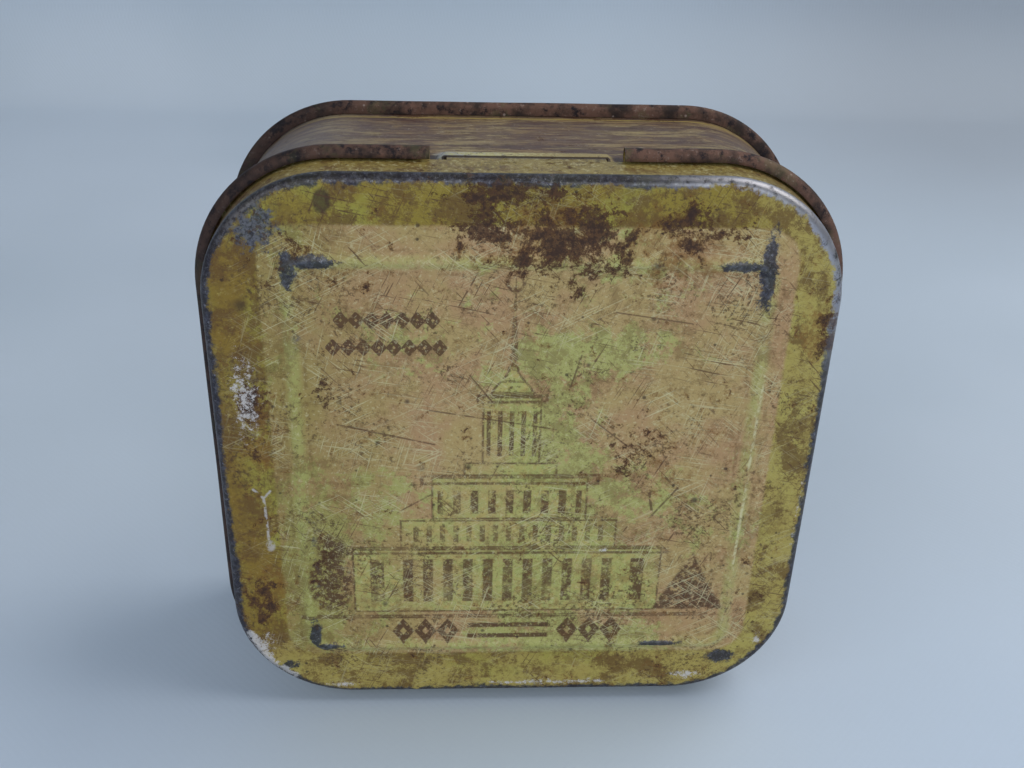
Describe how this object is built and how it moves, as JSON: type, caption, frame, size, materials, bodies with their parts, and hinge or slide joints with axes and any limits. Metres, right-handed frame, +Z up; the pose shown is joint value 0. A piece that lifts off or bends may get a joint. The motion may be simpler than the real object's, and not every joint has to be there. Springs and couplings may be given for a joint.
{
  "type": "hinged square tin box",
  "caption": "Flat square tinplate box with rounded corners, a deep hinged lid with a curled edge and a pressed frame, a wrapped body wall and a rolled-on base plate.",
  "frame": {"origin": "centre of the bounding box at the level of the lid's curled edge, its lowest line; the base's rolled edge ends 0.4 mm higher, so the box leans back by about 1 degree when it stands on a flat surface", "axes": "+Z up towards the hinge, -Y out of the lid's printed face, +Y out of the base plate, +X along the hinge line to the right seen from the lid"},
  "size_m": [0.073, 0.0272, 0.073],
  "materials": {
    "lid_tinplate": "worn printed lacquer over tinplate, satin",
    "wall_tinplate": "faded printed lacquer over tinplate, satin",
    "base_tinplate": "worn lacquer with rusty edge, matte"
  },
  "bodies": {
    "case": {"body_wall": "wall_tinplate", "base_plate": "base_tinplate"},
    "lid": {"lid": "lid_tinplate"}
  },
  "joints": [
    {"name": "lid_hinge", "type": "hinge", "parent": "case", "child": "lid", "pos_m": [0, -0.00588, 0.07135], "axis": [-1, 0, 0], "range_deg": [0, 110]}
  ]
}
